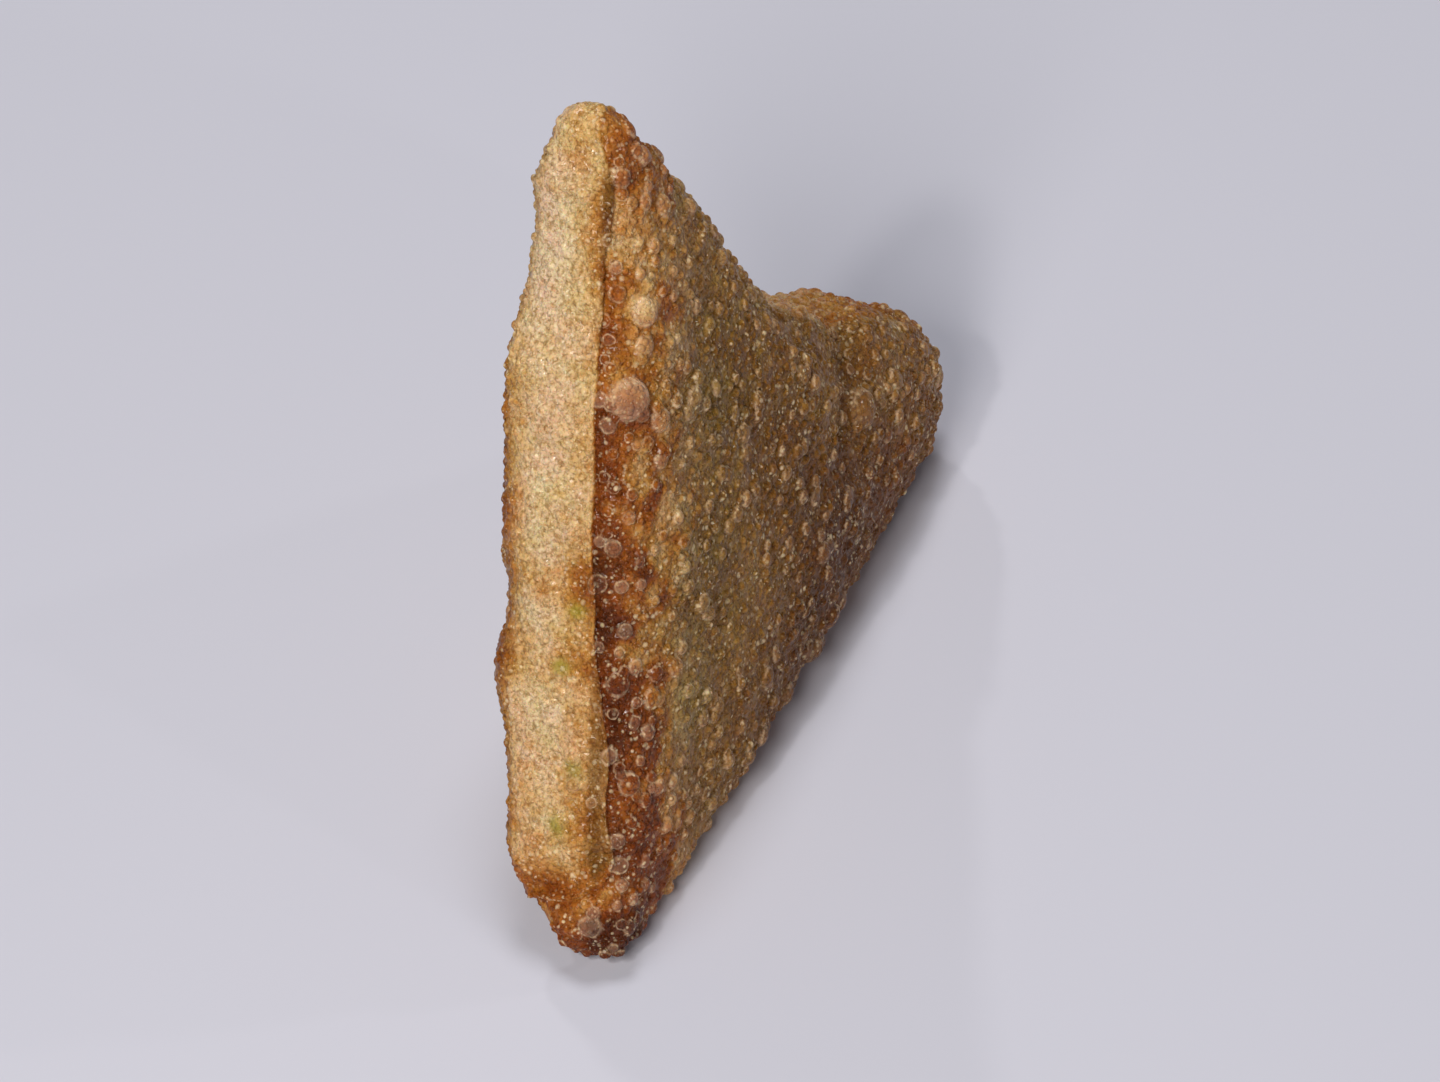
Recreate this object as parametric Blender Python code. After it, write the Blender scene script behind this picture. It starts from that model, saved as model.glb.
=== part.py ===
"""A deep-fried triangular samosa, standing on the folded edge that it rests on.

The pad of pastry is described in its own plane: "along" runs up the base from the heel to the nose, "up"
rises to the apex, and "out" is the thickness, towards the front face. Three corner discs, wrapped like a
belt round three pulleys, give the outline. A wall with rounded shoulders runs round it, and a swollen face
closes each side. The pad then leans back a little on its base, and the floor presses a flat foot into it.
"""

import math

import bmesh
import bpy
import numpy as np

# Corner discs of the outline: centre along, centre up, radius.
HEEL = (0.0036, 0.0038, 0.0038)
NOSE = (0.1050, 0.0144, 0.0140)
APEX = (0.0602, 0.0998, 0.0048)

# Half thickness at the heel, nose and apex, and halfway along the base, far and near edges.
FRONT_DEPTH = ((0.0078, 0.0100, 0.0062), (0.0116, 0.0106, 0.0118))
BACK_DEPTH = ((0.0004, 0.0102, 0.0038), (0.0112, 0.0108, 0.0114))

# How far the shoulders lie inside the outline, at the same six places.
FRONT_SHOULDER = ((0.0036, 0.0105, 0.0044), (0.0060, 0.0075, 0.0082))
BACK_SHOULDER = ((0.0036, 0.0105, 0.0042), (0.0060, 0.0075, 0.0060))

# Exponent of the wall's rounded profile: 2 is a plain ellipse, more is a squarer shoulder.
FRONT_SQUARENESS = 2.3
BACK_SQUARENESS = 2.8

# How far the filling swells each face, and how far the near edge bows out.
FRONT_SWELL = 0.0026
BACK_SWELL = 0.0034
NEAR_BOW = 0.0014

# How far the heel is folded towards the front, and how far up the pad that reaches.
HEEL_FOLD = 0.0028
HEEL_FOLD_REACH = 0.016

# Where the far edge draws in between its corners: share of the edge from the nose, half width towards the
# nose and towards the apex, and depth.
WAIST = (0.50, 0.20, 0.35, 0.0097)

# Where the back of the near wall swells and sinks: share of the edge from the apex, half width and height.
BACK_ROLLS = ((0.30, 0.10, 0.0018), (0.56, 0.08, -0.0022), (0.73, 0.08, 0.0014), (0.88, 0.065, 0.0062))

# The outer flap of pastry wraps the near edge. Its free edge is a step down the front half of the wall.
FLAP_STEP = 0.0010
FLAP_LINE = 0.38
FLAP_TOP = 0.05
FLAP_END = 0.88

# The tuck below the flap: a crease that crosses the near wall and sets off the pointed heel.
TUCK_DEPTH = 0.0024
TUCK_HALF_WIDTH = 0.024
TUCK_SLANT = 0.045

# A soft valley sets the nose off from the front face: distance from the nose's centre, half width, depth.
NOSE_VALLEY = (0.0200, 0.0060, 0.0012)

# The pad's lean away from the front, and how deep the floor presses the foot.
LEAN = math.radians(10.0)
FOOT_PRESS = 0.0016

# Share of the pad's height within which an edge alone sets the thickness.
RIM_REACH = 0.001

# Passes that relax the surface before the flap and the crease are raised on it.
RELAX_PASSES = 6

# Mesh steps along each edge, and across the wall from the front shoulder to the flap and on to the back.
EDGE_STEPS = 44
FRONT_WALL_STEPS = 4
BACK_WALL_STEPS = 7
FLAP_STEP_SHARE = 0.05

BASE, FAR, NEAR = range(3)
SIDES = ((HEEL, NOSE), (NOSE, APEX), (APEX, HEEL))


def side_normal(side):
    """Angle of the outward normal of the straight stretch between a side's two discs."""
    (start_x, start_y, start_r), (end_x, end_y, end_r) = SIDES[side]
    run, rise = end_x - start_x, end_y - start_y
    heading = math.atan2(rise, run)
    return heading - math.acos((start_r - end_r) / math.hypot(run, rise))


def outline(side, share):
    """Points and outward normals of the outline, at shares 0 to 1 of a side between two mid-corners."""
    start, end = SIDES[side]
    normal = side_normal(side)
    before = normal - ((normal - side_normal(side - 1)) % math.tau) / 2
    after = normal + ((side_normal((side + 1) % 3) - normal) % math.tau) / 2
    first_arc = start[2] * (normal - before)
    last_arc = end[2] * (after - normal)
    straight = math.sqrt(math.dist(start[:2], end[:2]) ** 2 - (start[2] - end[2]) ** 2)
    place = share * (first_arc + straight + last_arc)
    angle = np.interp(
        place,
        (0, first_arc, first_arc + straight, first_arc + straight + last_arc),
        (before, normal, normal, after),
    )
    outward = np.stack((np.cos(angle), np.sin(angle)), axis=1)
    travelled = np.clip((place - first_arc) / straight, 0, 1)[:, None]
    centre = np.array(start[:2]) * (1 - travelled) + np.array(end[:2]) * travelled
    radius = start[2] * (1 - travelled) + end[2] * travelled
    return centre + radius * outward, outward


def hump(distance, half_width):
    """A soft hump: 1 at distance 0, and little past its half width."""
    return np.exp(-((distance / half_width) ** 2))


def bow(side, share):
    """How far the outline stands out from its straight stretch."""
    if side == NEAR:
        return NEAR_BOW * np.sin(math.pi * share)
    if side == FAR:
        middle, nose_width, apex_width, depth = WAIST
        half_width = np.where(share < middle, nose_width, apex_width)
        return -depth * hump(share - middle, half_width)
    return np.zeros_like(share)


def along_side(table, side, share):
    """A size that is given at the three corners and halfway along the three sides."""
    corners, middles = table
    start, end = corners[side], corners[(side + 1) % 3]
    ease = share * share * (3 - 2 * share)
    arch = 4 * share * (1 - share)
    return start + (end - start) * ease + (middles[side] - (start + end) / 2) * arch


def rolls(share):
    """How much thicker the back of the near wall is, in soft rolls down its length."""
    return sum(height * hump(share - middle, half_width) for middle, half_width, height in BACK_ROLLS)


def wall_profile(squareness, turn):
    """Inset and depth, as shares, of a shoulder: turn 0 is its outermost line and 1 is the face's edge."""
    angle = turn * math.pi / 2
    inset = 1 - np.cos(angle) ** (2 / squareness)
    return inset, np.sin(angle) ** (2 / squareness)


def wall_point(side, share, turn):
    """Points of the wall, in pad coordinates. Turn runs from -1, the back shoulder, to 1, the front one."""
    front = turn > 0
    inset, depth = wall_profile(FRONT_SQUARENESS if front else BACK_SQUARENESS, abs(turn))
    shoulder = along_side(FRONT_SHOULDER if front else BACK_SHOULDER, side, share)
    half = along_side(FRONT_DEPTH if front else BACK_DEPTH, side, share)
    if side == NEAR and not front:
        half = half + rolls(share)
    place, outward = outline(side, share)
    flat = place + outward * (bow(side, share) - shoulder * inset)[:, None]
    return np.column_stack((flat, math.copysign(1, turn) * half * depth))


def flap_relief(share, turn):
    """How far the outer flap and the crease below it lift or sink the near wall. Turn is 1 at the front."""
    ends = np.clip((share - FLAP_TOP) / FLAP_TOP, 0, 1) * np.clip((1 - share) / (1 - FLAP_END), 0, 1)
    covered = turn < FLAP_LINE
    crease = FLAP_END + TUCK_SLANT * (FLAP_LINE - turn)
    tuck = hump(share - crease, TUCK_HALF_WIDTH) * math.cos(turn * math.pi / 2)
    return FLAP_STEP * covered * ends - TUCK_DEPTH * tuck


def rim_depth(rim, heel, nose, apex):
    """The three edges' half thickness, each weighing more the nearer it is."""
    total = np.zeros_like(heel)
    weight = np.zeros_like(heel)
    corners = (heel, nose, apex)
    for side in range(3):
        start, end, distance = (corners[(side + step) % 3] for step in range(3))
        pull = 1 / (distance + RIM_REACH) ** 2
        total += pull * along_side(rim, side, end / np.maximum(start + end, RIM_REACH))
        weight += pull
    return total / weight


def face_grid(turn, rim, swell):
    """A face's points over a triangular grid, spanned between its three shoulder lines and swollen."""
    steps = np.arange(EDGE_STEPS + 1)
    rows = [(a, b) for a in steps for b in steps[: EDGE_STEPS + 1 - a]]
    nose, apex = np.array(rows).T / EDGE_STEPS
    heel = 1 - nose - apex
    heel_point, nose_point, apex_point = (wall_point(side, np.zeros(1), turn) for side in range(3))
    base = wall_point(BASE, nose, turn), wall_point(BASE, 1 - heel, turn)
    far = wall_point(FAR, apex, turn), wall_point(FAR, 1 - nose, turn)
    near = wall_point(NEAR, heel, turn), wall_point(NEAR, 1 - apex, turn)
    points = heel[:, None] * (base[0] + near[1] - heel_point)
    points += nose[:, None] * (far[0] + base[1] - nose_point)
    points += apex[:, None] * (near[0] + far[1] - apex_point)
    middle_product = (1 / 3) ** 3
    dome = 1 - (1 - heel * nose * apex / middle_product) ** 2
    points[:, 2] = turn * (rim_depth(rim, heel, nose, apex) + swell * dome)
    if turn > 0:
        points[:, 2] -= nose_valley(points)
    return points, {row: index for index, row in enumerate(rows)}


def nose_valley(points):
    """How deep the front face sinks where the nose begins."""
    distance, half_width, depth = NOSE_VALLEY
    away = np.hypot(points[:, 0] - NOSE[0], points[:, 1] - NOSE[1])
    return depth * hump(away - distance, half_width)


def edge_rows():
    """Grid places round a face's edge: up the base, the far edge and down the near edge."""
    base = [(k, 0) for k in range(EDGE_STEPS)]
    far = [(EDGE_STEPS - k, k) for k in range(EDGE_STEPS)]
    near = [(0, EDGE_STEPS - k) for k in range(EDGE_STEPS)]
    return base + far + near


def wall_turns():
    """Turns of the wall's rows between the shoulders, with a close pair of rows at the flap's free edge."""
    front = np.linspace(1, FLAP_LINE + FLAP_STEP_SHARE / 2, FRONT_WALL_STEPS + 1)[1:]
    back = np.linspace(FLAP_LINE - FLAP_STEP_SHARE / 2, -1, BACK_WALL_STEPS + 1)[:-1]
    return np.concatenate((front, back))


def samosa_skin():
    """The whole closed surface in pad coordinates, and the flap's relief at each of its points."""
    front, front_index = face_grid(1.0, FRONT_DEPTH, FRONT_SWELL)
    back, back_index = face_grid(-1.0, BACK_DEPTH, BACK_SWELL)
    edge = edge_rows()
    share = np.arange(EDGE_STEPS) / EDGE_STEPS
    turns = wall_turns()
    wall = [np.vstack([wall_point(side, share, turn) for side in range(3)]) for turn in turns]
    points = np.vstack([front, back, *wall])
    points[:, 2] += HEEL_FOLD * hump(np.hypot(points[:, 0], points[:, 1]), HEEL_FOLD_REACH)

    plain_face = np.zeros(len(front))
    plain_side = np.zeros(EDGE_STEPS)
    relief = [plain_face, plain_face]
    for turn in turns:
        relief += [plain_side, plain_side, flap_relief(share, turn)]
    relief = np.concatenate(relief)

    faces = []
    for (a, b), corner in front_index.items():
        right, up, across = (front_index.get(key) for key in ((a + 1, b), (a, b + 1), (a + 1, b + 1)))
        if right is not None:
            faces.append((corner, right, up))
        if across is not None:
            faces.append((right, across, up))
    offset = len(front)
    faces += [tuple(offset + index for index in reversed(face)) for face in faces]

    rings = [[front_index[key] for key in edge]]
    for row in range(len(turns)):
        start = 2 * offset + row * len(edge)
        rings.append(list(range(start, start + len(edge))))
    rings.append([offset + back_index[key] for key in edge])
    for upper, lower in zip(rings, rings[1:]):
        for k in range(len(edge)):
            following = (k + 1) % len(edge)
            faces.append((upper[k], lower[k], lower[following], upper[following]))
    return points, faces, relief


def stand(points):
    """Pad coordinates in the part's frame: leaning back, pressed flat by the floor, over the origin."""
    along, up, out = points.T
    height = up * math.cos(LEAN) + out * math.sin(LEAN)
    depth = up * math.sin(LEAN) - out * math.cos(LEAN)
    height = np.maximum(height - height.min() - FOOT_PRESS, 0)
    placed = np.column_stack((along, depth, height))
    middle = (placed.max(axis=0) + placed.min(axis=0)) / 2
    return placed - (middle[0], middle[1], 0)


def samosa_mesh():
    """The mesh of the pad: relaxed, given its flap and crease, and stood on its foot."""
    points, faces, relief = samosa_skin()
    mesh = bpy.data.meshes.new("samosa")
    mesh.from_pydata(points.tolist(), [], faces)
    skin = bmesh.new()
    skin.from_mesh(mesh)
    every_axis = {"use_axis_x": True, "use_axis_y": True, "use_axis_z": True}
    for _ in range(RELAX_PASSES):
        bmesh.ops.smooth_vert(skin, verts=skin.verts, factor=0.5, **every_axis)
    skin.normal_update()
    raised = np.array([vert.co + vert.normal * height for vert, height in zip(skin.verts, relief)])
    for vert, place in zip(skin.verts, stand(raised)):
        vert.co = place
    skin.to_mesh(mesh)
    skin.free()
    return mesh


def fried_pastry():
    """Golden fried pastry with a little oil on it."""
    material = bpy.data.materials.new("fried_pastry")
    material.use_nodes = True
    shader = material.node_tree.nodes["Principled BSDF"]
    shader.inputs["Base Color"].default_value = (0.56, 0.31, 0.11, 1)
    shader.inputs["Roughness"].default_value = 0.45
    shader.inputs["Metallic"].default_value = 0.0
    return material


def main():
    for item in list(bpy.data.objects):
        bpy.data.objects.remove(item, do_unlink=True)
    mesh = samosa_mesh()
    mesh.materials.append(fried_pastry())
    mesh.shade_smooth()
    bpy.context.scene.collection.objects.link(bpy.data.objects.new("samosa", mesh))


main()
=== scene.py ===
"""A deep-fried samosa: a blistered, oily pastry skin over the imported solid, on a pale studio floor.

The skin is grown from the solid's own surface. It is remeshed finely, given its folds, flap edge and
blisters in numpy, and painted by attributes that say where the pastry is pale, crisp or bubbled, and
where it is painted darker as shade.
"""

import math

import bpy
import numpy as np
from mathutils import Matrix, Quaternion, Vector, kdtree

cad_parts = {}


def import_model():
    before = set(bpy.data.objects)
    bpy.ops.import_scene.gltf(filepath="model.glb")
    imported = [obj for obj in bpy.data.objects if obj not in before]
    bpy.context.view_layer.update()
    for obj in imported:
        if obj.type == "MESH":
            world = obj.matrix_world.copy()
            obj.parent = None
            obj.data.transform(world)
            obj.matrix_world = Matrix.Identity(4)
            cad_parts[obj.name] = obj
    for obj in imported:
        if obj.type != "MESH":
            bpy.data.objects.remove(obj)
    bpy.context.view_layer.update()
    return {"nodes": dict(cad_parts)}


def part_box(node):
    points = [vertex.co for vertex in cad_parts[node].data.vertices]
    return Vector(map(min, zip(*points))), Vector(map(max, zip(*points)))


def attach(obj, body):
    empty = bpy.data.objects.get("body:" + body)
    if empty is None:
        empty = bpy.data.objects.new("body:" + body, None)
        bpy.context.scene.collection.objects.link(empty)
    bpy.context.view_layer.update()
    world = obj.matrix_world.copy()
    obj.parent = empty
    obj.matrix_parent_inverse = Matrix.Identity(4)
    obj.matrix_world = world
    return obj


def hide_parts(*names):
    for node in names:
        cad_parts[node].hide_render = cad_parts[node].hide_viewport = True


# The pad's lean away from its front face, and its origin's distance from the box's low X, from Y 0 and from
# the floor. "Along" runs up the base from the heel to the nose, "up" to the apex, and "out" to the front.
LEAN = math.radians(10.0)
PAD_ORIGIN = (-0.0007, -0.0067, -0.0016)

# Landmarks of the pad, as (along, up): the rounded heel, nose and apex.
HEEL = np.array((0.0036, 0.0038))
NOSE = np.array((0.1050, 0.0144))
APEX = np.array((0.0602, 0.0998))

# The skin's mesh: cell size, and passes that take the cells' steps out of it.
SKIN_CELL = 0.00032
SMOOTH_PASSES = 6

# The outer flap wraps the near wall from behind. How far out its free edge lies, by share of the way down.
FLAP_EDGE = (
    (-0.03, 0.0028),
    (0.06, 0.0055),
    (0.15, 0.0052),
    (0.27, 0.0049),
    (0.45, 0.0051),
    (0.60, 0.0062),
    (0.80, 0.0076),
    (0.88, 0.0080),
    (1.00, 0.0080),
)

# Where the flap ends near the heel: share of the way down, by how far out.
FLAP_END = ((-0.0040, 0.947), (0.0030, 0.945), (0.0065, 0.924), (0.0090, 0.893), (0.0120, 0.860))
FLAP_STEP = 0.00050
FLAP_WOBBLE = 0.0006

# The step that the solid already has there: how far out, by share of the way down, and its height and half width.
SOLID_EDGE = ((0.0, 0.0036), (0.25, 0.0060), (0.5, 0.0068), (1.0, 0.0068))
SOLID_STEP = (0.0010, 0.0009)

# A lip on the flap's edge and a groove under it: height and width.
LIP = (0.00030, 0.0010)
GROOVE = (0.00035, 0.0006)

# How far in from the near edge the crisp strip beside the flap reaches, by share of the way down.
STRIP_EDGE = (
    (0.0, 0.0095),
    (0.15, 0.0058),
    (0.30, 0.0028),
    (0.60, 0.0034),
    (0.78, 0.0072),
    (0.90, 0.0140),
    (1.1, 0.0190),
)
WALL_WIDTH = 0.0085

# Where the skin swells or sinks: (along, up, out), half width and height.
SWELLS = (
    ((0.0592, 0.1030, 0.0000), 0.0048, 0.0024),
    ((0.0266, 0.0430, -0.0085), 0.0045, -0.0014),
    ((0.0228, 0.0369, -0.0090), 0.0052, 0.0014),
    ((0.0060, 0.0010, -0.0030), 0.0060, -0.0024),
    ((0.0925, 0.0375, 0.0000), 0.0045, -0.0022),
)

# The valley between the face and the nose: distance from the nose's centre, half width and depth, and how
# high up the pad it fades in.
NOSE_CREASE = (0.0260, 0.0042, 0.0015)
CREASE_FADE = (0.018, 0.032)

# The waves' lattice is turned, so that none of its planes lies along a face.
LATTICE_TURN = np.array(Matrix.Rotation(0.7, 3, "Z") @ Matrix.Rotation(0.9, 3, "X"))

# Soft unevenness of the whole skin: wave size and height.
WAVES = ((0.0160, 0.00085), (0.0065, 0.00042), (0.0028, 0.00018))

# Blisters, from large and rare to small and crowded: spacing, least and greatest radius, height as a share
# of the radius, and the share of places that have one on the flap, on the crisp strip and elsewhere. The
# larger have a ring, painted as a highlight on the rim.
BLISTERS = (
    (0.0090, 0.00120, 0.00200, 0.60, 0.06, 0.60, 0.40),
    (0.0036, 0.00080, 0.00130, 0.85, 0.08, 0.95, 0.55),
    (0.0020, 0.00050, 0.00080, 0.90, 0.35, 0.80, 0.55),
    (0.0011, 0.00034, 0.00052, 0.65, 0.95, 0.75, 0.75),
)
RINGED = 0.00080

# The most that a common blister is clouded by its film, where 1 is a thin standing blister.
BLISTER_FILM = 0.75

# A blister's profile, and how far past its radius its painted rim highlight can still be told.
DOME_STEEPNESS = 0.50
DOME_REACH = 1.3

# The flap's front corner by the apex is ochre: (along, up, out, half width).
OCHRE_CORNER = (0.0572, 0.0935, 0.0040, 0.0048)

# Herbs in the filling that show faintly through the flap, as (along, up, out), and their radius.
GREEN_SPECKS = ((0.0224, 0.0475, 0.0033), (0.0182, 0.0406, 0.0010), (0.0117, 0.0285, 0.0033), (0.0077, 0.0214, 0.0016))
SPECK_RADIUS = 0.0013

# How far the skin between the blisters lies below the solid's surface, so that the two agree on average.
SINK = 0.00045

# Thin blisters that stand out on the front, as (along, up, radius, height, film).
FRONT_DOMES = (
    (0.0600, 0.0975, 0.0015, 0.0012, 0.5),
    (0.0566, 0.0925, 0.0013, 0.0010, 0.4),
    (0.0598, 0.0890, 0.0016, 0.0012, 0.5),
    (0.0545, 0.0865, 0.0012, 0.0010, 0.4),
    (0.0480, 0.0803, 0.0021, 0.0013, 0.9),
    (0.0402, 0.0713, 0.0030, 0.0017, 1.0),
    (0.0424, 0.0664, 0.0018, 0.0011, 0.5),
    (0.0455, 0.0765, 0.0016, 0.0010, 0.7),
    (0.0892, 0.0290, 0.0030, 0.0014, 0.2),
    (0.0374, 0.0379, 0.0016, 0.0012, 0.3),
    (0.0678, 0.0209, 0.0017, 0.0012, 0.2),
    (0.0289, 0.0336, 0.0015, 0.0011, 0.3),
    (0.0455, 0.0065, 0.0017, 0.0012, 0.2),
    (0.0545, 0.0060, 0.0018, 0.0013, 0.2),
    (0.0630, 0.0065, 0.0022, 0.0014, 0.2),
    (0.0725, 0.0070, 0.0017, 0.0012, 0.2),
)

# Where the front is browner (1) or paler (-1), as (along, up, half width, browning and shade): partly the
# crust's own browning and partly painted shade, on the face's right side and low by the nose.
FRONT_PATCHES = (
    (0.0710, 0.0205, 0.0150, 0.40),
    (0.0880, 0.0350, 0.0060, 0.10),
    (0.0870, 0.0110, 0.0110, 0.24),
    (0.0320, 0.0160, 0.0100, 0.03),
    (0.0460, 0.0060, 0.0110, 0.16),
    (0.0620, 0.0060, 0.0140, 0.24),
    (0.0640, 0.0510, 0.0130, 0.18),
    (0.0380, 0.0420, 0.0110, 0.05),
    (0.1050, 0.0040, 0.0090, 0.16),
)
OLIVE_PATCHES = ((0.0380, 0.0420, 0.0120), (0.0560, 0.0600, 0.0110), (0.0300, 0.0260, 0.0060))


def main():
    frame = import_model()
    samosa = crisp_skin(frame["nodes"]["samosa"])
    samosa.data.materials.append(fried_pastry())
    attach(samosa, "root")
    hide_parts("samosa")
    studio()


# ---------------------------------------------------------------- repeatable randomness


def lattice_numbers(cells, seed):
    """Three repeatable numbers from 0 to 1 for each whole-numbered cell of a lattice."""
    primes = np.array((73856093, 19349663, 83492791), dtype=np.uint64)
    state = (cells.astype(np.int64).astype(np.uint64) * primes).sum(axis=1) + np.uint64(seed * 7919)
    numbers = []
    for _ in range(3):
        state = state + np.uint64(0x9E3779B97F4A7C15)
        mixed = (state ^ (state >> np.uint64(30))) * np.uint64(0xBF58476D1CE4E5B9)
        mixed = (mixed ^ (mixed >> np.uint64(27))) * np.uint64(0x94D049BB133111EB)
        mixed ^= mixed >> np.uint64(31)
        numbers.append((mixed >> np.uint64(40)).astype(float) / (1 << 24))
    return np.column_stack(numbers)


def waves(points, size, seed):
    """Smooth random waves from -1 to 1, a size across."""
    scaled = points @ LATTICE_TURN / size
    cell = np.floor(scaled)
    share = scaled - cell
    share = share * share * (3 - 2 * share)
    total = np.zeros(len(points))
    for corner in np.ndindex(2, 2, 2):
        weight = np.prod(np.where(corner, share, 1 - share), axis=1)
        total += weight * lattice_numbers(cell + corner, seed)[:, 0]
    return 2 * total - 1


def hump(distance, half_width):
    """A soft hump: 1 at distance 0, and little past its height and half width."""
    return np.exp(-((distance / half_width) ** 2))


def ramp(value, start, end):
    """Rises smoothly from 0 at start to 1 at end."""
    share = np.clip((value - start) / (end - start), 0, 1)
    return share * share * (3 - 2 * share)


# ---------------------------------------------------------------- places on the pad


class Pad:
    """Where points of the skin lie on the pad, and how it faces there."""

    def __init__(self, points, normals):
        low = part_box("samosa")[0]
        moved = points - (low[0] + PAD_ORIGIN[0], PAD_ORIGIN[1], PAD_ORIGIN[2])
        upward = np.array((0, math.sin(LEAN), math.cos(LEAN)))
        outward = np.array((0, -math.cos(LEAN), math.sin(LEAN)))
        self.points = points
        self.along = moved[:, 0]
        self.up = moved @ upward
        self.out = moved @ outward
        self.facing = normals @ outward

        edge = (HEEL - APEX) / np.linalg.norm(HEEL - APEX)
        inward = np.array((-edge[1], edge[0]))
        from_apex = np.column_stack((self.along, self.up)) - APEX
        self.down = from_apex @ edge / np.linalg.norm(HEEL - APEX)
        self.inside = from_apex @ inward + 0.0048
        self.wallward = normals[:, 0] * -inward[0] + (normals @ upward) * -inward[1]

    def away(self, landmark):
        """Distance from a landmark, seen from the front."""
        return np.hypot(self.along - landmark[0], self.up - landmark[1])

    def distance(self, place):
        """Distance from a place given as (along, up, out)."""
        return np.linalg.norm(np.column_stack((self.along, self.up, self.out)) - place, axis=1)

    def past_flap(self):
        """Distance past the flap's free edge or its lower end: below 0 is covered by the flap."""
        past_edge = self.out - eased(FLAP_EDGE, self.down)
        past_end = (self.down - eased(FLAP_END, self.out)) * np.linalg.norm(APEX - HEEL)
        wobble = FLAP_WOBBLE * waves(self.points, 0.008, 11)
        return np.maximum(past_edge, past_end) + wobble

    def on_wall(self):
        """1 on the near wall, and 0 on the faces."""
        return ramp(self.inside, WALL_WIDTH * 1.5, WALL_WIDTH * 0.8)


def eased(table, at):
    """A size given at some places, eased between them."""
    places, sizes = np.array(table).T
    step = np.clip(np.searchsorted(places, at, side="right") - 1, 0, len(places) - 2)
    share = np.clip((at - places[step]) / (places[step + 1] - places[step]), 0, 1)
    share = share * share * (3 - 2 * share)
    return sizes[step] * (1 - share) + sizes[step + 1] * share


# ---------------------------------------------------------------- the skin's relief


def fine_mesh(node):
    """A fine, even copy of the solid's surface."""
    mesh = node.data.copy()
    mesh.materials.clear()
    piece = bpy.data.objects.new("samosa_skin", mesh)
    bpy.context.scene.collection.objects.link(piece)
    weld = piece.modifiers.new("weld", "WELD")
    weld.merge_threshold = SKIN_CELL / 10
    rounding = piece.modifiers.new("rounding", "SUBSURF")
    rounding.levels = 2
    rounding.render_levels = 2
    cells = piece.modifiers.new("cells", "REMESH")
    cells.mode = "VOXEL"
    cells.voxel_size = SKIN_CELL
    smooth = piece.modifiers.new("smooth", "SMOOTH")
    smooth.factor = 0.5
    smooth.iterations = SMOOTH_PASSES
    bpy.context.view_layer.update()
    whole = bpy.data.meshes.new_from_object(piece.evaluated_get(bpy.context.evaluated_depsgraph_get()))
    piece.modifiers.clear()
    piece.data = whole
    whole.name = "samosa_skin"
    return piece


def mesh_points(mesh):
    points = np.empty(len(mesh.vertices) * 3, np.float32)
    mesh.vertices.foreach_get("co", points)
    return points.reshape(-1, 3).astype(float)


def mesh_normals(mesh):
    normals = np.empty(len(mesh.vertices) * 3, np.float32)
    mesh.vertex_normals.foreach_get("vector", normals)
    return normals.reshape(-1, 3).astype(float)


def scatter(points, tree, spacing, shares, seed):
    """Places on the skin, about a spacing apart, and a repeatable number for each."""
    cells = np.unique(np.floor(points / spacing), axis=0)
    around = [cells + offset for offset in np.ndindex(3, 3, 3)]
    cells = np.unique(np.vstack(around) - 1, axis=0)
    numbers = lattice_numbers(cells, seed)
    luck = lattice_numbers(cells, seed + 1)[:, 0]
    nearest = [tree.find(place) for place in (cells + numbers) * spacing]
    kept = np.array([distance < spacing / 2 for _, _, distance in nearest])
    kept &= luck < shares[[index for _, index, _ in nearest]]
    return np.array([place for place, _, _ in nearest])[kept], numbers[kept]


def domes(tree, centres, radii, heights, films, skin):
    """Raises domes on the skin, with each point's distance from its dome as a share of the radius, and its film."""
    for centre, radius, tall, pale in zip(centres, radii, heights, films):
        found = tree.find_range(centre, radius * DOME_REACH)
        index = np.array([item[1] for item in found], dtype=int)
        away = np.array([item[2] for item in found]) / radius
        dome = tall * np.clip(1 - away**2, 0, 1) ** DOME_STEEPNESS
        taller = dome > skin["height"][index]
        skin["height"][index[taller]] = dome[taller]
        if radius >= RINGED:
            nearer = away < skin["bubble"][index]
            skin["bubble"][index[nearer]] = away[nearer]
            skin["film"][index[nearer]] = pale * ramp(away[nearer], 1.1, 0.9)


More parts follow.
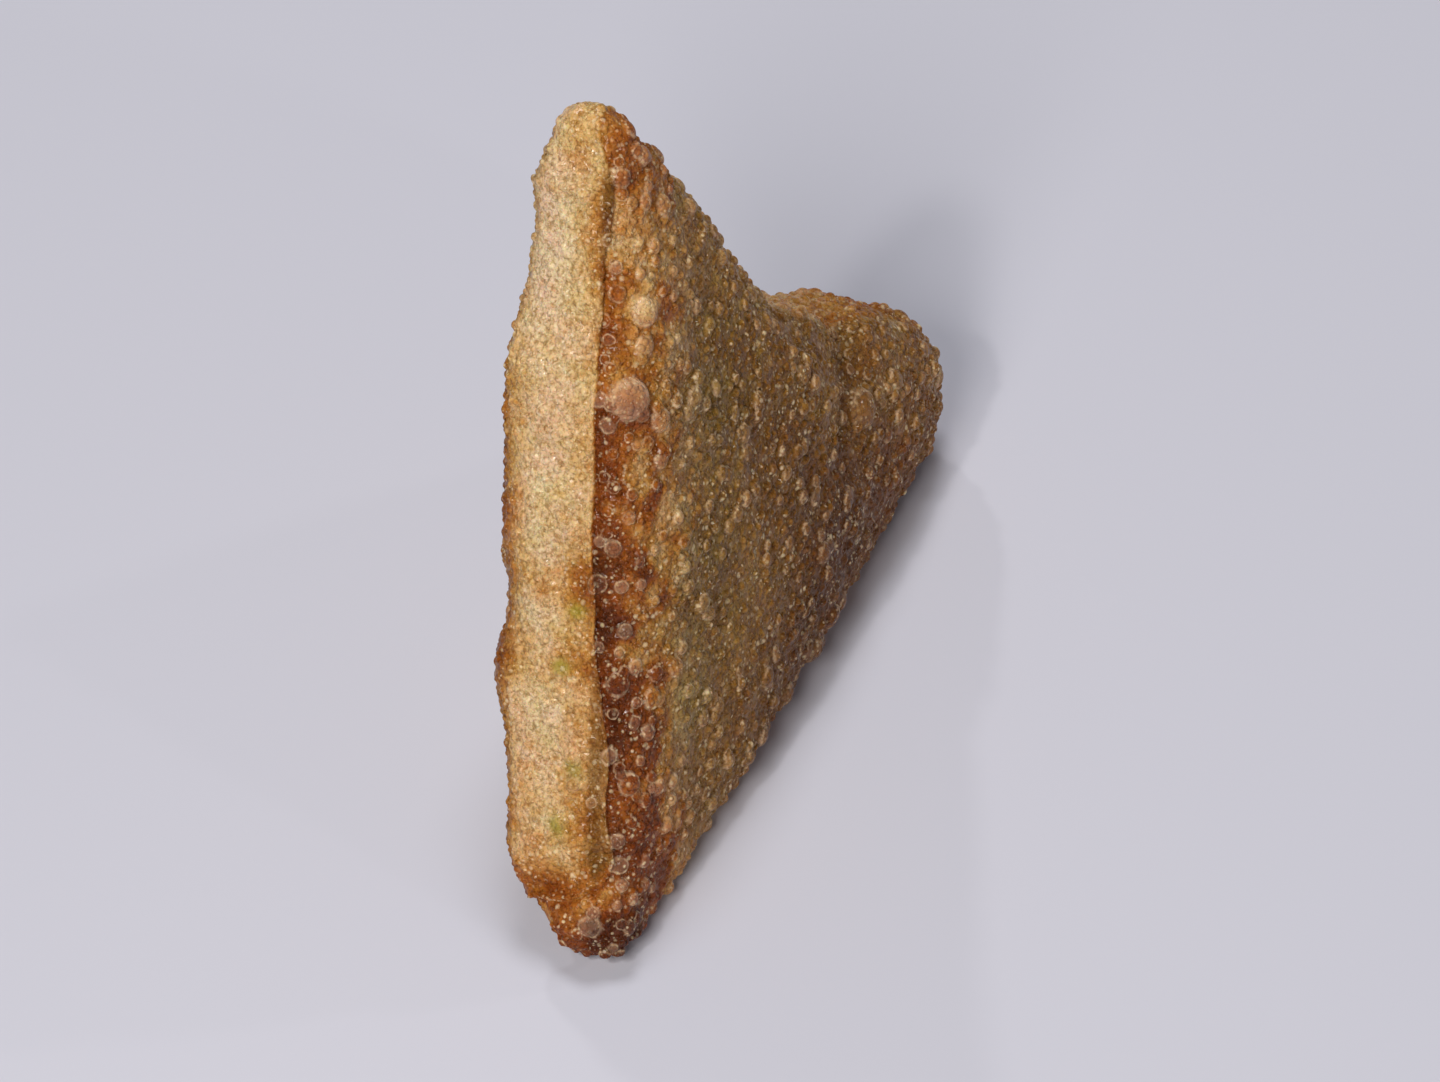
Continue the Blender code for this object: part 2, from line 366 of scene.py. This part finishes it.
def crisp_skin(node):
    """The fried skin: folds, flap edge and blisters over the solid, with the attributes that colour it."""
    piece = fine_mesh(node)
    mesh = piece.data
    points = mesh_points(mesh)
    normals = mesh_normals(mesh)
    pad = Pad(points, normals)

    tree = kdtree.KDTree(len(points))
    for index, point in enumerate(points):
        tree.insert(point, index)
    tree.balance()

    relief = np.zeros(len(points))
    for seed, (size, height) in enumerate(WAVES):
        relief += height * waves(points, size, seed)

    for place, half_width, height in SWELLS:
        relief += height * hump(pad.distance(place), half_width)
    distance, half_width, depth = NOSE_CREASE
    crease = hump(pad.away(NOSE) - distance, half_width) * ramp(pad.facing, -0.3, 0.3) * ramp(pad.up, *CREASE_FADE)
    relief -= depth * crease

    past = pad.past_flap()
    wall = pad.on_wall()
    top = ramp(pad.down, 0.0, 0.06)
    solid_past = pad.out - eased(SOLID_EDGE, pad.down)
    solid_cover = ramp(solid_past, SOLID_STEP[1], -SOLID_STEP[1]) * ramp(pad.down, 0.05, 0.10)
    cover = ramp(past, 0.00015, -0.00015)
    gape = (0.7 + 0.6 * waves(points, 0.0055, 12)) * ramp(pad.down, 0.08, 0.25)
    step = FLAP_STEP * cover * top - SOLID_STEP[0] * solid_cover * ramp(pad.down, 0.95, 0.90)
    step += LIP[0] * cover * hump(past, LIP[1])
    step -= GROOVE[0] * (1 - cover) * hump(past, GROOVE[1]) * gape
    relief += step * wall

    skin = {
        "height": np.zeros(len(points)),
        "bubble": np.full(len(points), DOME_REACH),
        "film": np.zeros(len(points)),
    }
    flap = cover * wall
    lump = waves(points, 0.0024, 23)
    strip_edge = eased(STRIP_EDGE, pad.down) + 0.0030 * waves(points, 0.007, 24) + 0.0028 * lump
    strip = (1 - cover) * ramp(pad.inside - strip_edge, 0.0034, -0.0014) * (pad.facing > -0.3)
    for seed, (spacing, least, greatest, tallness, on_flap, on_strip, elsewhere) in enumerate(BLISTERS):
        shares = elsewhere + (on_flap - elsewhere) * flap + (on_strip - elsewhere) * strip
        centres, numbers = scatter(points, tree, spacing, shares, 40 + 2 * seed)
        radii = least + (greatest - least) * numbers[:, 2] ** 2
        films = BLISTER_FILM * ramp(numbers[:, 1], 0.30, 0.90)
        domes(tree, centres, radii, radii * tallness, films, skin)
    front = pad.out > 0.002
    spots = [np.argmin(np.where(front, pad.away(dome[:2]), 1)) for dome in FRONT_DOMES]
    domes(tree, points[spots], *np.array(FRONT_DOMES)[:, 2:].T, skin)
    relief += skin["height"]

    relief -= SINK
    placed = points + normals * relief[:, None]
    placed[:, 2] = np.maximum(placed[:, 2], 0)
    mesh.vertices.foreach_set("co", placed.astype(np.float32).ravel())
    mesh.update()
    mesh.shade_smooth()

    front = ramp(pad.facing, 0.0, 0.4)
    back = ramp(pad.facing, -0.3, -0.8)
    patch = waves(points, 0.012, 21)
    blotch = waves(points, 0.0045, 22)
    crisp = 0.28 + 0.33 * ramp(pad.down, 0.10, 0.50) + 0.14 * blotch + 0.14 * lump
    halo = (1 - cover) * ramp(pad.inside - strip_edge, 0.0150, 0.0020) * front
    # Painted shade: a thin dark line just past the flap's free edge, under its step.
    edge_shade_line = (1 - cover) * hump(past - 0.0006, 0.0010) * wall * ramp(pad.down, 0.10, 0.25)
    ochre = hump(pad.distance(OCHRE_CORNER[:3]), OCHRE_CORNER[3]) * (1 - 0.5 * strip)
    # The heel's tip is browner, and painted shade darkens it more on its wall side.
    heel = (0.32 + 0.22 * wall) * hump(pad.away(HEEL), 0.0060) * (1 - 0.4 * cover)
    strip *= 1 - 0.65 * ramp(pad.down, 0.88, 0.95) * ramp(pad.facing, 0.65, 0.15)
    apex = 0.18 * hump(pad.away(APEX), 0.0075) * (1 - 0.8 * cover)
    top_edge = 0.16 * cover * wall * hump(past, 0.0020) * ramp(pad.down, 0.32, 0.10) * ramp(pad.down, 0.02, 0.08)
    on_nose = ramp(pad.away(NOSE), 0.026, 0.014)
    zone = 0.25 * hump(pad.down - 0.550, 0.030) * ramp(pad.out, -0.006, 0.002)
    zone += 0.16 * hump(pad.down - 0.642, 0.030) + 0.12 * ramp(pad.down, 0.72, 0.92)
    zone += 0.10 * hump(pad.down - 0.715, 0.055) * ramp(past, -0.0090, -0.0030)
    zone += 0.14 * ramp(past, -0.0065, -0.0010) * (1 + ramp(pad.down, 0.78, 0.90) + 0.5 * blotch)
    # Painted shade where the flap curls round towards the back, below its upper quarter.
    zone += 0.14 * ramp(pad.out, -0.0040, -0.0090) * ramp(pad.down, 0.20, 0.32)
    zone -= 0.12 * ramp(past, -0.0035, -0.0065) * hump(pad.down - 0.13, 0.10)
    zone *= flap
    rim = 0.18 * (1 - wall) * ramp(np.abs(pad.facing), 0.75, 0.35)
    # Summed in here too: painted shade in the valley before the nose (crease).
    browning_and_shade = 0.03 + 0.24 * ochre + 0.26 * halo * (1 - strip) * (1 + 0.5 * lump) + 0.12 * edge_shade_line + crisp * strip + 0.10 * crease + heel + apex + 0.16 * on_nose + zone + rim + top_edge + (0.06 + 0.16 * back) * patch + 0.10 * back
    # Browner patches on the front, partly painted shade.
    for along, up, half_width, deeper in FRONT_PATCHES:
        browning_and_shade += deeper * front * hump(pad.away((along, up)), half_width)
    # The faces are painted tan, partly the crust's own colour and partly painted shade: fully on the front and about
    # half as much on the back.
    face_shade = np.maximum(ramp(pad.facing, 0.30, 0.80), 0.7 * on_nose * front) * (1 - 0.15 * on_nose) + 0.55 * back
    face_shade *= (1 - strip) * (1 - 0.75 * halo)
    olive = sum(hump(pad.away((along, up)), half_width) for along, up, half_width in OLIVE_PATCHES)
    green = sum(hump(pad.distance(place), SPECK_RADIUS) for place in GREEN_SPECKS)
    paint = {
        "browning_and_shade": np.clip(browning_and_shade, -0.1, 1),
        "face_shade": face_shade,
        "bubble": skin["bubble"],
        "film": skin["film"] * (1 - 0.6 * face_shade),
        "olive": np.clip(olive * front + ochre, 0, 1),
        "green": np.clip(green * (1 + lump), 0, 1),
    }
    for name, values in paint.items():
        mesh.attributes.new(name, "FLOAT", "POINT").data.foreach_set("value", values.astype(np.float32))
    return piece


# ---------------------------------------------------------------- the pastry's finish


class Nodes:
    """A material's node tree, with short ways to add and join nodes."""

    def __init__(self, name):
        self.material = bpy.data.materials.new(name)
        self.material.use_nodes = True
        self.tree = self.material.node_tree
        self.shader = self.tree.nodes["Principled BSDF"]

    def add(self, kind, inputs=(), **settings):
        node = self.tree.nodes.new(kind)
        for key, value in settings.items():
            setattr(node, key, value)
        for key, value in dict(inputs).items():
            if isinstance(value, bpy.types.NodeSocket):
                self.tree.links.new(value, node.inputs[key])
            else:
                node.inputs[key].default_value = value
        return node

    def attribute(self, name):
        return self.add("ShaderNodeAttribute", attribute_name=name).outputs["Fac"]

    def math(self, operation, *values):
        return self.add("ShaderNodeMath", enumerate(values), operation=operation).outputs[0]

    def noise(self, size, detail=3.0, roughness=0.55):
        place = self.add("ShaderNodeTexCoord").outputs["Object"]
        settings = {"Vector": place, "Scale": 1 / size, "Detail": detail, "Roughness": roughness}
        return self.add("ShaderNodeTexNoise", settings).outputs["Fac"]

    def mix(self, factor, first, second, blend="MIX"):
        inputs = {"Factor": factor, "A": first, "B": second}
        node = self.tree.nodes.new("ShaderNodeMix")
        node.data_type = "RGBA"
        node.blend_type = blend
        node.clamp_factor = True
        sockets = [socket for socket in node.inputs if socket.enabled]
        for socket in sockets:
            value = inputs[socket.name]
            if isinstance(value, bpy.types.NodeSocket):
                self.tree.links.new(value, socket)
            else:
                socket.default_value = value
        return next(socket for socket in node.outputs if socket.enabled)

    def ramp(self, factor, stops):
        node = self.add("ShaderNodeValToRGB", {"Fac": factor})
        elements = node.color_ramp.elements
        while len(elements) < len(stops):
            elements.new(0.5)
        for element, (place, color) in zip(elements, stops):
            element.position = place
            element.color = (*color, 1)
        return node.outputs["Color"]


def froth(nodes, size, shift):
    """Height, from 0 to 1, of tiny round bubbles of many sizes, about a size apart."""
    place = nodes.add("ShaderNodeTexCoord").outputs["Object"]
    moved = nodes.add("ShaderNodeVectorMath", {0: place, 1: (shift, shift, shift)}, operation="ADD")
    cells = nodes.add("ShaderNodeTexVoronoi", {"Vector": moved.outputs[0], "Scale": 1 / size})
    number = nodes.add("ShaderNodeSeparateColor", {"Color": cells.outputs["Color"]}).outputs[0]
    radius = nodes.math("MULTIPLY_ADD", number, 0.42, 0.22)
    share = nodes.math("DIVIDE", cells.outputs["Distance"], radius)
    inside = nodes.math("MAXIMUM", nodes.math("SUBTRACT", 1.0, nodes.math("MULTIPLY", share, share)), 0.0)
    return nodes.math("MULTIPLY", nodes.math("SQRT", inside), nodes.math("ADD", number, 0.3))


def painted_rim_highlight(nodes, share):
    """A painted highlight on the uneven rim of a blister, where its film is thick: 1 on the rim, fading to 0 on both
    sides and in places.
    """
    uneven = nodes.math("MULTIPLY_ADD", nodes.noise(0.0008, 2.0), 0.50, -0.25)
    away = nodes.math("ABSOLUTE", nodes.math("SUBTRACT", nodes.math("ADD", share, uneven), 0.86))
    line = nodes.math("MAXIMUM", nodes.math("MULTIPLY_ADD", away, -1 / 0.18, 1.0), 0.0)
    weak = nodes.ramp(nodes.noise(0.0014, 2.0), ((0.40, (0.10,) * 3), (0.58, (1,) * 3)))
    return nodes.math("MULTIPLY", line, weak)


def painted_glint_specks(nodes, size, shift):
    """Painted glints on tiny pale bubbles: 1 in the middle of each, fading to 0 at its rim."""
    place = nodes.add("ShaderNodeTexCoord").outputs["Object"]
    moved = nodes.add("ShaderNodeVectorMath", {0: place, 1: (shift, shift, shift)}, operation="ADD")
    cells = nodes.add("ShaderNodeTexVoronoi", {"Vector": moved.outputs[0], "Scale": 1 / size})
    number = nodes.add("ShaderNodeSeparateColor", {"Color": cells.outputs["Color"]}).outputs[1]
    share = nodes.math("DIVIDE", cells.outputs["Distance"], nodes.math("MULTIPLY_ADD", number, 0.22, 0.16))
    inside = nodes.math("MAXIMUM", nodes.math("SUBTRACT", 1.0, nodes.math("MULTIPLY", share, share)), 0.0)
    return nodes.math("MULTIPLY", inside, nodes.math("MULTIPLY_ADD", number, 0.7, 0.3))


def fried_pastry():
    """Golden fried pastry: pale on the flap, brown where it is crisp, tan on the faces partly as painted shade, with
    painted glints and rim highlights, wet with oil.
    """
    nodes = Nodes("samosa_pastry")
    browning_and_shade = nodes.attribute("browning_and_shade")
    face_shade = nodes.attribute("face_shade")
    froth_height = nodes.math(
        "MAXIMUM", froth(nodes, 0.00105, 0.0), nodes.math("MULTIPLY", froth(nodes, 0.00058, 0.37), 0.7)
    )

    # The crust's browning, with the painted shade added in, plus noise.
    fried = nodes.math("MULTIPLY_ADD", nodes.math("SUBTRACT", nodes.noise(0.0050, 4.0), 0.5), 0.55, browning_and_shade)
    fried = nodes.math("MULTIPLY_ADD", nodes.math("SUBTRACT", nodes.noise(0.0014, 3.0), 0.5), 0.38, fried)
    fried = nodes.math("ADD", fried, 0.08)
    golden = nodes.ramp(
        fried,
        (
            (0.00, (0.95, 0.69, 0.44)),
            (0.20, (0.83, 0.51, 0.23)),
            (0.35, (0.64, 0.29, 0.066)),
            (0.50, (0.45, 0.140, 0.018)),
            (0.68, (0.29, 0.066, 0.007)),
            (1.00, (0.11, 0.022, 0.003)),
        ),
    )
    # A darker tan copy of the golden colours: partly the crust's own colour and partly painted shade for the faces.
    tan = nodes.ramp(
        fried,
        (
            (0.00, (0.46, 0.25, 0.070)),
            (0.22, (0.29, 0.125, 0.020)),
            (0.50, (0.18, 0.062, 0.008)),
            (0.75, (0.12, 0.036, 0.004)),
            (1.00, (0.07, 0.018, 0.002)),
        ),
    )
    color = nodes.mix(face_shade, golden, tan)
    mottle = nodes.ramp(nodes.noise(0.0070, 3.0), ((0.40, (0,) * 3), (0.70, (1,) * 3)))
    olive = nodes.math("MAXIMUM", nodes.math("MULTIPLY", mottle, 0.35), nodes.attribute("olive"))
    color = nodes.mix(nodes.math("MULTIPLY", olive, 0.6), color, (0.80, 1.0, 0.95, 1), "MULTIPLY")
    tint = nodes.ramp(nodes.noise(0.0055, 2.0), ((0.35, (1.0, 0.93, 0.96)), (0.65, (0.93, 1.0, 0.84))))
    color = nodes.mix(0.7, color, tint, "MULTIPLY")
    # Painted shade: dark pits between the tiny bubbles.
    pit_shade = nodes.ramp(nodes.noise(0.00066, 2.0, 0.7), ((0.36, (1,) * 3), (0.56, (0,) * 3)))
    color = nodes.mix(nodes.math("MULTIPLY", pit_shade, 0.90), color, (0.56, 0.47, 0.33, 1), "MULTIPLY")
    bubble = nodes.attribute("bubble")
    film = nodes.math("MULTIPLY", nodes.attribute("film"), nodes.math("MULTIPLY_ADD", bubble, 0.20, 0.16))
    color = nodes.mix(film, color, (0.82, 0.54, 0.34, 1))
    # Painted highlights on the rims of the larger blisters.
    color = nodes.mix(nodes.math("MULTIPLY", painted_rim_highlight(nodes, bubble), 0.52), color, (0.92, 0.64, 0.38, 1))
    color = nodes.mix(nodes.math("MULTIPLY", nodes.attribute("green"), 0.75), color, (0.38, 0.30, 0.03, 1))
    # Painted glints on tiny bubbles, gathered into clusters.
    painted_glint = nodes.math("MAXIMUM", painted_glint_specks(nodes, 0.00080, 0.11), painted_glint_specks(nodes, 0.00130, 0.53))
    clusters = nodes.ramp(nodes.noise(0.0030, 3.0), ((0.38, (0.15,) * 3), (0.58, (1,) * 3)))
    painted_glint = nodes.math("MULTIPLY", painted_glint, clusters)
    color = nodes.mix(nodes.math("MULTIPLY", painted_glint, 0.85), color, (1.0, 0.78, 0.47, 1))
    nodes.tree.links.new(color, nodes.shader.inputs["Base Color"])

    gloss = nodes.ramp(nodes.noise(0.0030, 2.0), ((0.3, (0.35,) * 3), (0.7, (0.60,) * 3)))
    nodes.tree.links.new(gloss, nodes.shader.inputs["Roughness"])

    soft_bump = nodes.add("ShaderNodeBump", {"Height": froth_height, "Distance": 0.00034, "Strength": 1.0})
    sharp_bump = nodes.add("ShaderNodeBump", {"Height": froth_height, "Distance": 0.00050, "Strength": 1.0})
    nodes.tree.links.new(soft_bump.outputs[0], nodes.shader.inputs["Normal"])
    nodes.tree.links.new(sharp_bump.outputs[0], nodes.shader.inputs["Coat Normal"])

    nodes.shader.inputs["IOR"].default_value = 1.40
    nodes.shader.inputs["Specular IOR Level"].default_value = 0.10
    nodes.shader.inputs["Subsurface Weight"].default_value = 0.35
    nodes.shader.inputs["Subsurface Radius"].default_value = (1.0, 0.45, 0.18)
    nodes.shader.inputs["Subsurface Scale"].default_value = 0.0012
    nodes.shader.inputs["Coat Weight"].default_value = 0.40
    nodes.shader.inputs["Coat Roughness"].default_value = 0.10
    return nodes.material


# ---------------------------------------------------------------- studio

VIEW_AZIMUTH = math.radians(297.0)
VIEW_ELEVATION = math.radians(44.4)
VIEW_ROLL = math.radians(-3.1)
VIEW_DISTANCE = 2.42
LENS = 445.0

# Lights one metre away: azimuth and elevation in degrees, width, watts and colour. The small ones give the
# oily skin its glints.
LIGHTS = (
    ("key", 278, 40, 0.40, 5.5, (1.0, 0.98, 0.95)),
    ("top", 110, 72, 0.34, 3.6, (0.95, 0.97, 1.0)),
    ("near_glint", 266, 48, 0.06, 1.6, (1.0, 0.98, 0.95)),
    ("front_glint", 345, 12, 0.06, 0.6, (1.0, 1.0, 1.0)),
    ("far_glint", 39, 18, 0.06, 0.6, (1.0, 1.0, 1.0)),
    ("back_glint", 135, 38, 0.06, 1.0, (1.0, 1.0, 1.0)),
)


def direction(azimuth, elevation):
    """Unit vector towards a viewer at an azimuth, counted from -Y towards +X, and an elevation."""
    level = math.cos(elevation)
    return Vector((math.sin(azimuth) * level, -math.cos(azimuth) * level, math.sin(elevation)))


def aimed(name, data, place, target, roll=0.0):
    """A camera or light at a place, looking at a target."""
    item = bpy.data.objects.new(name, data)
    turn = (place - target).to_track_quat("Z", "Y") @ Quaternion((0, 0, 1), roll)
    item.matrix_world = Matrix.LocRotScale(place, turn, None)
    bpy.context.scene.collection.objects.link(item)
    return item


def soft_light(name, azimuth, elevation, size, watts, color, target):
    light = bpy.data.lights.new(name, "AREA")
    light.shape = "DISK"
    light.size = size
    light.energy = watts
    light.color = color
    place = target + direction(math.radians(azimuth), math.radians(elevation))
    return aimed(name, light, place, target)


def off_centre(camera):
    """How far, across its view, the camera has to move for the samosa's outline to lie in the middle."""
    turn = np.array(camera.matrix_world.to_3x3())[:, :2]
    seen = (mesh_points(bpy.data.objects["samosa"].data) - camera.location) @ turn
    return Vector(turn @ ((seen.min(axis=0) + seen.max(axis=0)) / 2))


def studio():
    scene = bpy.context.scene
    low, high = (Vector(corner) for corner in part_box("samosa"))
    middle = (low + high) / 2

    bpy.ops.mesh.primitive_plane_add(size=8.0)
    floor = bpy.context.object
    floor.name = "floor"
    paper = bpy.data.materials.new("pale_floor")
    paper.use_nodes = True
    paper.node_tree.nodes["Principled BSDF"].inputs["Base Color"].default_value = (0.66, 0.65, 0.72, 1)
    paper.node_tree.nodes["Principled BSDF"].inputs["Roughness"].default_value = 0.8
    floor.data.materials.append(paper)

    lens = bpy.data.cameras.new("camera")
    lens.lens = LENS
    lens.sensor_width = 36
    lens.clip_start = 0.05
    towards = direction(VIEW_AZIMUTH, VIEW_ELEVATION)
    camera = aimed("camera", lens, middle + towards * VIEW_DISTANCE, middle, VIEW_ROLL)
    camera.location += off_centre(camera)
    scene.camera = camera

    for light in LIGHTS:
        soft_light(*light, middle)
    world = bpy.data.worlds.new("studio")
    world.use_nodes = True
    world.node_tree.nodes["Background"].inputs["Color"].default_value = (0.80, 0.84, 1.0, 1)
    world.node_tree.nodes["Background"].inputs["Strength"].default_value = 0.07
    scene.world = world
    scene.view_settings.view_transform = "Standard"


main()
